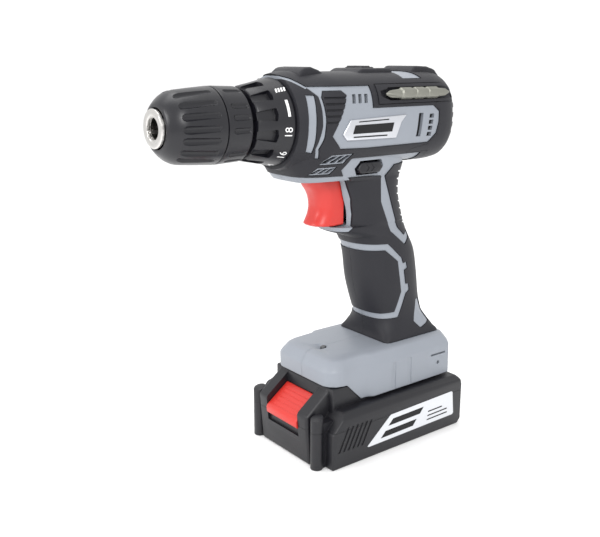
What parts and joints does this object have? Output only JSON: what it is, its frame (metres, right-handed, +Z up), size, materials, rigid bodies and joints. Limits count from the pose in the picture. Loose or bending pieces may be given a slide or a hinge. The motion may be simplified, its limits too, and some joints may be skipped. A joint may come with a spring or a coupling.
{
  "type": "cordless drill driver",
  "caption": "Pistol-grip cordless drill driver with keyless chuck, torque collar, trigger, two-speed slider, work light, stowed screwdriver bit and slide-on battery.",
  "frame": {"origin": "centre of the tool's outer box, on the flat face that the battery stands on", "axes": "+Z up, -X towards the chuck along the spindle, -Y towards the left side with the stowed bit"},
  "size_m": [0.185, 0.072, 0.2162],
  "materials": {
    "housing_grey": "satin",
    "overmould_black": "matte",
    "collar_black": "satin",
    "battery_black": "satin",
    "control_red": "satin",
    "label_silver": "satin",
    "steel": "machined",
    "gear_steel": "oiled",
    "spring_steel": "satin",
    "bit_steel": "satin",
    "nylon": "matte",
    "motor_zinc": "plated",
    "light_lens": "clear",
    "cell_wrap": "gloss",
    "board_green": "satin"
  },
  "bodies": {
    "housing": {"left_housing": "housing_grey", "left_nose_overmould": "overmould_black", "left_rear_bumper": "overmould_black", "left_grip_pad": "overmould_black", "left_back_pad": "overmould_black", "left_label_plate": "label_silver", "right_housing": "housing_grey", "right_nose_overmould": "overmould_black", "right_rear_bumper": "overmould_black", "right_grip_pad": "overmould_black", "right_back_pad": "overmould_black", "right_label_plate": "label_silver", "housing_screw_1": "spring_steel", "housing_screw_2": "spring_steel", "housing_screw_3": "spring_steel", "housing_screw_4": "spring_steel", "housing_screw_5": "spring_steel", "housing_screw_6": "spring_steel", "bit_holder": "overmould_black", "screw_bit": "bit_steel", "trigger_switch": "nylon", "gearbox_housing": "nylon", "ring_gear": "gear_steel", "spindle_bearing": "steel", "clutch_spring": "spring_steel", "motor_can": "motor_zinc", "work_light": "light_lens", "terminal_block": "nylon"},
    "trigger": {"trigger": "control_red"},
    "direction_selector": {"direction_selector": "overmould_black"},
    "speed_selector": {"speed_selector": "overmould_black"},
    "collar": {"torque_collar": "collar_black", "adjusting_ring": "nylon"},
    "chuck": {"spindle": "steel", "planet_carrier": "gear_steel", "chuck_body": "steel", "chuck_rear_sleeve": "collar_black"},
    "sleeve": {"chuck_front_sleeve": "collar_black", "chuck_nut": "gear_steel"},
    "jaw_1": {"chuck_jaw_1": "gear_steel"},
    "jaw_2": {"chuck_jaw_2": "gear_steel"},
    "jaw_3": {"chuck_jaw_3": "gear_steel"},
    "planet_1": {"planet_gear_1": "gear_steel"},
    "planet_2": {"planet_gear_2": "gear_steel"},
    "planet_3": {"planet_gear_3": "gear_steel"},
    "rotor": {"rotor": "gear_steel", "motor_pinion": "gear_steel", "motor_fan": "nylon"},
    "battery": {"battery_case": "battery_black", "battery_cover": "battery_black", "battery_cell_1": "cell_wrap", "battery_cell_2": "cell_wrap", "battery_cell_3": "cell_wrap", "battery_cell_4": "cell_wrap", "battery_cell_5": "cell_wrap", "battery_board": "board_green", "button_spring": "spring_steel"},
    "release": {"release_button": "control_red"}
  },
  "joints": [
    {"name": "chuck_spin", "type": "hinge", "parent": "housing", "child": "chuck", "pos_m": [0, 0, 0.1885], "axis": [1, 0, 0], "continuous": true},
    {"name": "sleeve_turn", "type": "hinge", "parent": "chuck", "child": "sleeve", "pos_m": [0, 0, 0.1885], "axis": [1, 0, 0], "range_deg": [0, 4050]},
    {"name": "jaw_1_slide", "type": "slide", "parent": "chuck", "child": "jaw_1", "axis": [-0.9659, 0, -0.2588], "range_m": [0, 0.0181]},
    {"name": "jaw_2_slide", "type": "slide", "parent": "chuck", "child": "jaw_2", "axis": [-0.9659, 0.2241, 0.1294], "range_m": [0, 0.0181]},
    {"name": "jaw_3_slide", "type": "slide", "parent": "chuck", "child": "jaw_3", "axis": [-0.9659, -0.2241, 0.1294], "range_m": [0, 0.0181]},
    {"name": "collar_turn", "type": "hinge", "parent": "housing", "child": "collar", "pos_m": [0, 0, 0.1885], "axis": [1, 0, 0], "range_deg": [0, 315]},
    {"name": "trigger_pull", "type": "slide", "parent": "housing", "child": "trigger", "axis": [1, 0, 0], "range_m": [0, 0.0065], "stiffness_N_per_m": 800, "springref_m": -0.004},
    {"name": "direction_slide", "type": "slide", "parent": "housing", "child": "direction_selector", "axis": [0, 1, 0], "range_m": [-0.003, 0.003]},
    {"name": "speed_slide", "type": "slide", "parent": "housing", "child": "speed_selector", "axis": [1, 0, 0], "range_m": [0, 0.005]},
    {"name": "battery_slide", "type": "slide", "parent": "housing", "child": "battery", "axis": [-1, 0, 0], "range_m": [0, 0.075]},
    {"name": "release_press", "type": "slide", "parent": "battery", "child": "release", "axis": [0, 0, -1], "range_m": [0, 0.003], "stiffness_N_per_m": 600, "springref_m": -0.003, "deforming": ["button_spring"]},
    {"name": "rotor_spin", "type": "hinge", "parent": "housing", "child": "rotor", "pos_m": [0, 0, 0.1885], "axis": [1, 0, 0], "continuous": true},
    {"name": "planet_1_spin", "type": "hinge", "parent": "chuck", "child": "planet_1", "pos_m": [0.0115, 0, 0.199], "axis": [1, 0, 0], "continuous": true},
    {"name": "planet_2_spin", "type": "hinge", "parent": "chuck", "child": "planet_2", "pos_m": [0.0115, -0.00909, 0.18325], "axis": [1, 0, 0], "continuous": true},
    {"name": "planet_3_spin", "type": "hinge", "parent": "chuck", "child": "planet_3", "pos_m": [0.0115, 0.00909, 0.18325], "axis": [1, 0, 0], "continuous": true}
  ],
  "couplings": [
    {"joint": "jaw_1_slide", "follows": "sleeve_turn", "m_per_rad": 0.00025465},
    {"joint": "jaw_2_slide", "follows": "sleeve_turn", "m_per_rad": 0.00025465},
    {"joint": "jaw_3_slide", "follows": "sleeve_turn", "m_per_rad": 0.00025465},
    {"joint": "rotor_spin", "follows": "chuck_spin", "ratio": 4.6667},
    {"joint": "planet_1_spin", "follows": "chuck_spin", "ratio": -2.75},
    {"joint": "planet_2_spin", "follows": "chuck_spin", "ratio": -2.75},
    {"joint": "planet_3_spin", "follows": "chuck_spin", "ratio": -2.75}
  ]
}
